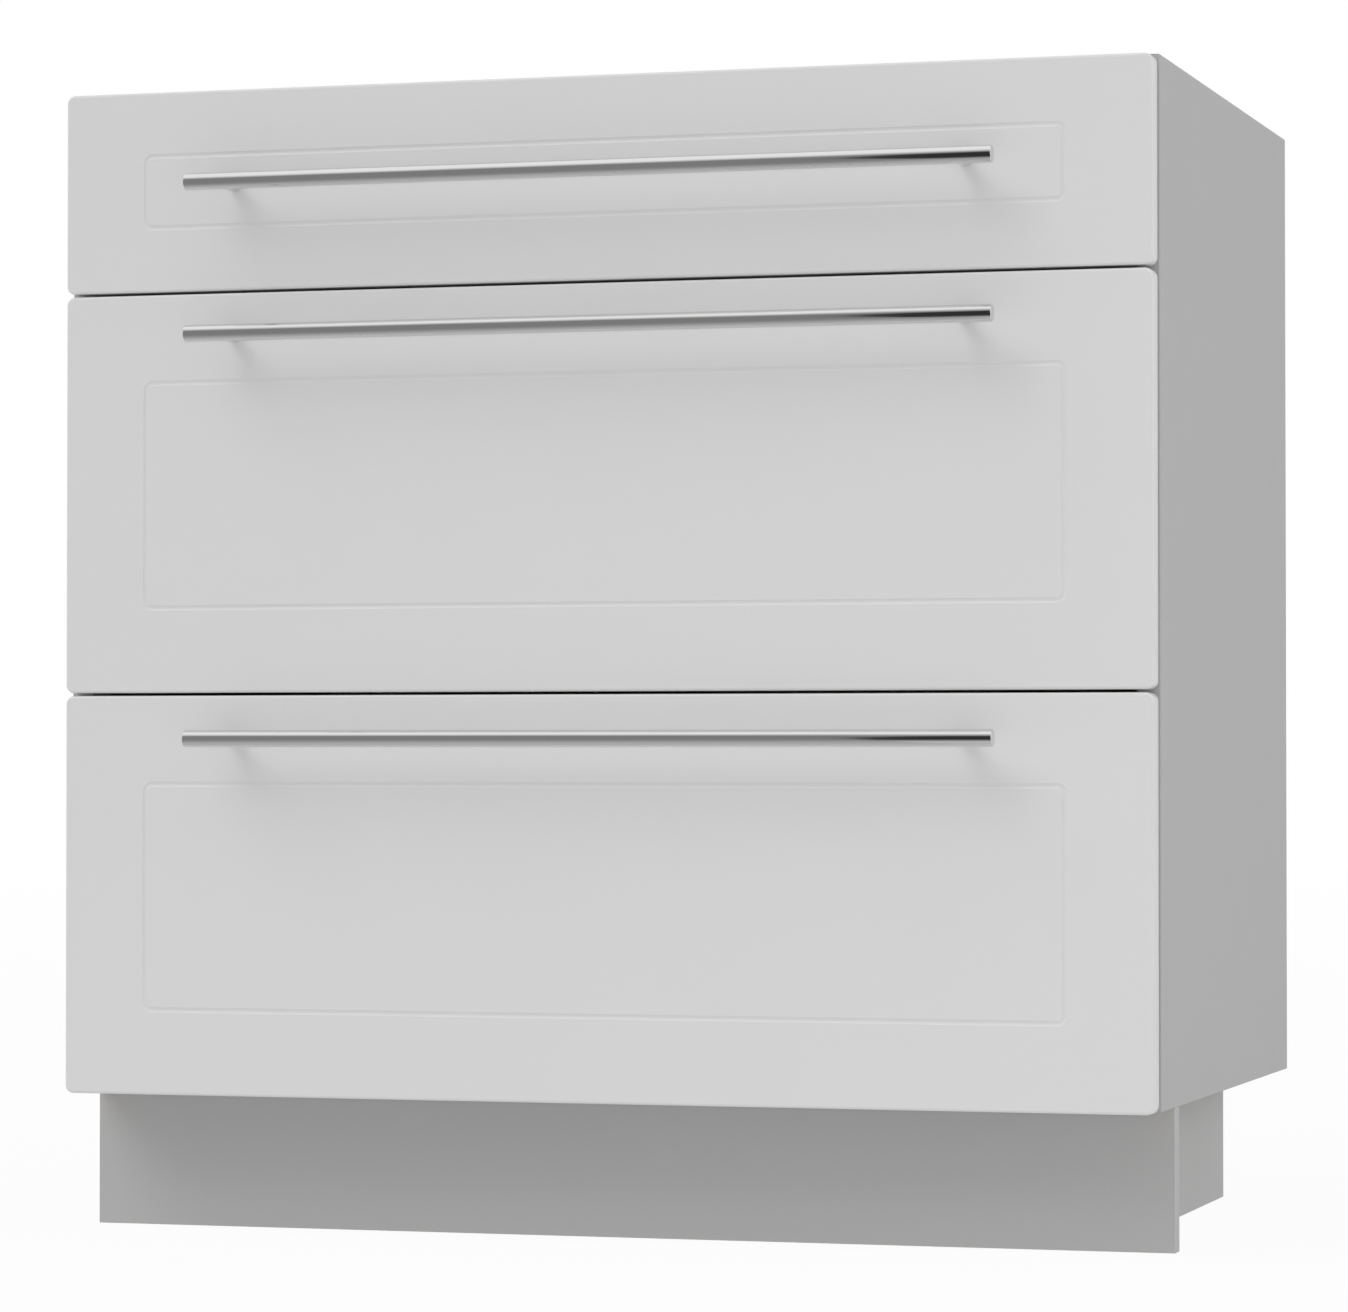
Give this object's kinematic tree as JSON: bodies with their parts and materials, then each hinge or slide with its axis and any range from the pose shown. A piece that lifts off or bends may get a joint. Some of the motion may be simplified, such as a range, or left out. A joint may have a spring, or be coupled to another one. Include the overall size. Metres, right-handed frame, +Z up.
{
  "type": "kitchen base cabinet with drawers",
  "caption": "Floor-standing kitchen base cabinet with one shallow drawer over two deep ones, bar handles, full-extension ball runners and a recessed plinth.",
  "frame": {"origin": "on the floor, under the middle of the whole unit with its handles", "axes": "+X to the right as seen from the front, +Y to the back, +Z up"},
  "size_m": [0.8, 0.5525, 0.82],
  "materials": {
    "front_lacquer": "satin off-white lacquer on fibreboard, smooth, clear-coated",
    "carcass_board": "white melamine-faced chipboard, fine orange-peel, matt",
    "drawer_board": "white melamine-faced chipboard, matt",
    "hardboard": "white-faced hardboard, thin",
    "handle_metal": "satin-polished bar handle",
    "runner_steel": "bright zinc-plated pressed sheet steel",
    "ball_steel": "hardened steel balls in a plated strip",
    "fastener_steel": "zinc-plated screws",
    "cam_zinc": "die-cast zinc cam discs and turned steel bolts"
  },
  "bodies": {
    "cabinet": {"back_panel": "hardboard", "bottom_panel": "carcass_board", "bottom_runner_cabinet_member_left": "runner_steel", "bottom_runner_cabinet_member_right": "runner_steel", "carcass_cam_fittings": "cam_zinc", "middle_runner_cabinet_member_left": "runner_steel", "middle_runner_cabinet_member_right": "runner_steel", "plinth_front_board": "carcass_board", "plinth_rear_board": "carcass_board", "plinth_side_board_left": "carcass_board", "plinth_side_board_right": "carcass_board", "runner_screws": "fastener_steel", "side_panel_left": "carcass_board", "side_panel_right": "carcass_board", "top_rail_front": "carcass_board", "top_rail_rear": "carcass_board", "top_runner_cabinet_member_left": "runner_steel", "top_runner_cabinet_member_right": "runner_steel"},
    "top_drawer": {"top_drawer_back": "drawer_board", "top_drawer_bottom": "hardboard", "top_drawer_cam_fittings": "cam_zinc", "top_drawer_front": "front_lacquer", "top_drawer_screws": "fastener_steel", "top_drawer_side_left": "drawer_board", "top_drawer_side_right": "drawer_board", "top_handle_bar": "handle_metal", "top_handle_posts": "handle_metal", "top_runner_drawer_member_left": "runner_steel", "top_runner_drawer_member_right": "runner_steel"},
    "top_runner_intermediates": {"top_runner_intermediate_members": "runner_steel"},
    "top_outer_cages": {"top_runner_outer_ball_cages": "ball_steel"},
    "top_inner_cages": {"top_runner_inner_ball_cages": "ball_steel"},
    "middle_drawer": {"middle_drawer_back": "drawer_board", "middle_drawer_bottom": "hardboard", "middle_drawer_cam_fittings": "cam_zinc", "middle_drawer_front": "front_lacquer", "middle_drawer_screws": "fastener_steel", "middle_drawer_side_left": "drawer_board", "middle_drawer_side_right": "drawer_board", "middle_handle_bar": "handle_metal", "middle_handle_posts": "handle_metal", "middle_runner_drawer_member_left": "runner_steel", "middle_runner_drawer_member_right": "runner_steel"},
    "middle_runner_intermediates": {"middle_runner_intermediate_members": "runner_steel"},
    "middle_outer_cages": {"middle_runner_outer_ball_cages": "ball_steel"},
    "middle_inner_cages": {"middle_runner_inner_ball_cages": "ball_steel"},
    "bottom_drawer": {"bottom_drawer_back": "drawer_board", "bottom_drawer_bottom": "hardboard", "bottom_drawer_cam_fittings": "cam_zinc", "bottom_drawer_front": "front_lacquer", "bottom_drawer_screws": "fastener_steel", "bottom_drawer_side_left": "drawer_board", "bottom_drawer_side_right": "drawer_board", "bottom_handle_bar": "handle_metal", "bottom_handle_posts": "handle_metal", "bottom_runner_drawer_member_left": "runner_steel", "bottom_runner_drawer_member_right": "runner_steel"},
    "bottom_runner_intermediates": {"bottom_runner_intermediate_members": "runner_steel"},
    "bottom_outer_cages": {"bottom_runner_outer_ball_cages": "ball_steel"},
    "bottom_inner_cages": {"bottom_runner_inner_ball_cages": "ball_steel"}
  },
  "joints": [
    {"name": "top_drawer_slide", "type": "slide", "parent": "cabinet", "child": "top_drawer", "axis": [0, -1, 0], "range_m": [0, 0.45]},
    {"name": "top_runner_intermediates_slide", "type": "slide", "parent": "cabinet", "child": "top_runner_intermediates", "axis": [0, -1, 0], "range_m": [0, 0.225]},
    {"name": "top_outer_cages_slide", "type": "slide", "parent": "cabinet", "child": "top_outer_cages", "axis": [0, -1, 0], "range_m": [0, 0.1125]},
    {"name": "top_inner_cages_slide", "type": "slide", "parent": "cabinet", "child": "top_inner_cages", "axis": [0, -1, 0], "range_m": [0, 0.3375]},
    {"name": "middle_drawer_slide", "type": "slide", "parent": "cabinet", "child": "middle_drawer", "axis": [0, -1, 0], "range_m": [0, 0.45]},
    {"name": "middle_runner_intermediates_slide", "type": "slide", "parent": "cabinet", "child": "middle_runner_intermediates", "axis": [0, -1, 0], "range_m": [0, 0.225]},
    {"name": "middle_outer_cages_slide", "type": "slide", "parent": "cabinet", "child": "middle_outer_cages", "axis": [0, -1, 0], "range_m": [0, 0.1125]},
    {"name": "middle_inner_cages_slide", "type": "slide", "parent": "cabinet", "child": "middle_inner_cages", "axis": [0, -1, 0], "range_m": [0, 0.3375]},
    {"name": "bottom_drawer_slide", "type": "slide", "parent": "cabinet", "child": "bottom_drawer", "axis": [0, -1, 0], "range_m": [0, 0.45]},
    {"name": "bottom_runner_intermediates_slide", "type": "slide", "parent": "cabinet", "child": "bottom_runner_intermediates", "axis": [0, -1, 0], "range_m": [0, 0.225]},
    {"name": "bottom_outer_cages_slide", "type": "slide", "parent": "cabinet", "child": "bottom_outer_cages", "axis": [0, -1, 0], "range_m": [0, 0.1125]},
    {"name": "bottom_inner_cages_slide", "type": "slide", "parent": "cabinet", "child": "bottom_inner_cages", "axis": [0, -1, 0], "range_m": [0, 0.3375]}
  ],
  "couplings": [
    {"joint": "top_runner_intermediates_slide", "follows": "top_drawer_slide", "ratio": 0.5},
    {"joint": "top_outer_cages_slide", "follows": "top_drawer_slide", "ratio": 0.25},
    {"joint": "top_inner_cages_slide", "follows": "top_drawer_slide", "ratio": 0.75},
    {"joint": "middle_runner_intermediates_slide", "follows": "middle_drawer_slide", "ratio": 0.5},
    {"joint": "middle_outer_cages_slide", "follows": "middle_drawer_slide", "ratio": 0.25},
    {"joint": "middle_inner_cages_slide", "follows": "middle_drawer_slide", "ratio": 0.75},
    {"joint": "bottom_runner_intermediates_slide", "follows": "bottom_drawer_slide", "ratio": 0.5},
    {"joint": "bottom_outer_cages_slide", "follows": "bottom_drawer_slide", "ratio": 0.25},
    {"joint": "bottom_inner_cages_slide", "follows": "bottom_drawer_slide", "ratio": 0.75}
  ]
}
